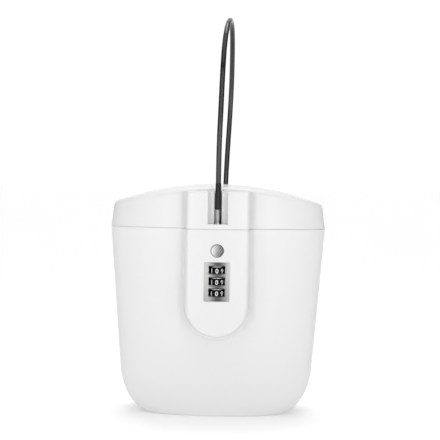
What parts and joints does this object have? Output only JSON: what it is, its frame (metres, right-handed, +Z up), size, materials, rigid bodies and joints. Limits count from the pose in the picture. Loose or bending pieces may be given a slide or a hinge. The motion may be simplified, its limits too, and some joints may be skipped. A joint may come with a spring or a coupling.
{
  "type": "portable car safe",
  "caption": "Portable safe with a hinged domed lid, a combination lock in a raised front panel and a tethering cable loop.",
  "frame": {"origin": "on the flat base, in the middle of the width, under the highest part of the lid to within 8 mm", "axes": "+X to the right seen from the front, +Y from the lock panel to the hinge, +Z up"},
  "size_m": [0.188, 0.125, 0.349],
  "materials": {
    "white_plastic": "satin moulded",
    "black_plastic": "satin moulded",
    "black_jacket": "glossy extruded jacket",
    "satin_silver": "satin plated",
    "spring_steel": "bright",
    "zinc": "cast zinc, plain",
    "black_rubber": "moulded",
    "grey_plastic": "fine texture"
  },
  "bodies": {
    "body": {"body_shell": "white_plastic", "lid_seal": "black_rubber", "hinge_pin": "spring_steel", "dial_bezel": "satin_silver", "wheel_spindle": "spring_steel", "detent_spring": "spring_steel", "lock_frame": "zinc", "latch_spring": "spring_steel", "button_spring": "spring_steel", "ferrule_socket": "zinc", "lock_cover": "grey_plastic", "cover_screw_left_low": "spring_steel", "cover_screw_left_high": "spring_steel", "cover_screw_right_low": "spring_steel", "cover_screw_right_high": "spring_steel"},
    "lid": {"lid_shell": "white_plastic", "lid_striker": "zinc", "striker_screw_left": "spring_steel", "striker_screw_right": "spring_steel", "cable_grommet": "black_rubber"},
    "wheel_top": {"number_wheel_top": "black_plastic", "gate_disc_top": "zinc"},
    "wheel_middle": {"number_wheel_middle": "black_plastic", "gate_disc_middle": "zinc"},
    "wheel_bottom": {"number_wheel_bottom": "black_plastic", "gate_disc_bottom": "zinc"},
    "button": {"release_button": "satin_silver", "button_clip": "spring_steel"},
    "latch": {"latch_slide": "zinc"},
    "change_lever": {"code_change_lever": "black_plastic"},
    "cable_loop": {"cable": "black_jacket", "cable_sleeve": "black_rubber", "cable_ferrule": "satin_silver", "cable_stop": "zinc"}
  },
  "joints": [
    {"name": "lid_hinge", "type": "hinge", "parent": "body", "child": "lid", "pos_m": [0, 0.0546, 0.164], "axis": [-1, 0, 0], "range_deg": [0, 105]},
    {"name": "wheel_top_turn", "type": "hinge", "parent": "body", "child": "wheel_top", "pos_m": [0, -0.0571, 0.1296], "axis": [0, 0, 1], "continuous": true},
    {"name": "wheel_middle_turn", "type": "hinge", "parent": "body", "child": "wheel_middle", "pos_m": [0, -0.0571, 0.11995], "axis": [0, 0, 1], "continuous": true},
    {"name": "wheel_bottom_turn", "type": "hinge", "parent": "body", "child": "wheel_bottom", "pos_m": [0, -0.0571, 0.1103], "axis": [0, 0, 1], "continuous": true},
    {"name": "button_press", "type": "slide", "parent": "body", "child": "button", "axis": [0, 1, 0], "range_m": [0, 0.0035], "stiffness_N_per_m": 300, "springref_m": -0.002, "deforming": ["button_spring"]},
    {"name": "latch_shift", "type": "slide", "parent": "body", "child": "latch", "axis": [1, 0, 0], "range_m": [0, 0.0035], "deforming": ["latch_spring"]},
    {"name": "cable_lift", "type": "slide", "parent": "lid", "child": "cable_loop", "axis": [0, 0, 1], "range_m": [0, 0.03]},
    {"name": "code_change", "type": "slide", "parent": "body", "child": "change_lever", "axis": [0, 0, 1], "range_m": [0, 0.003]}
  ],
  "couplings": [
    {"joint": "latch_shift", "follows": "button_press", "ratio": 1}
  ]
}
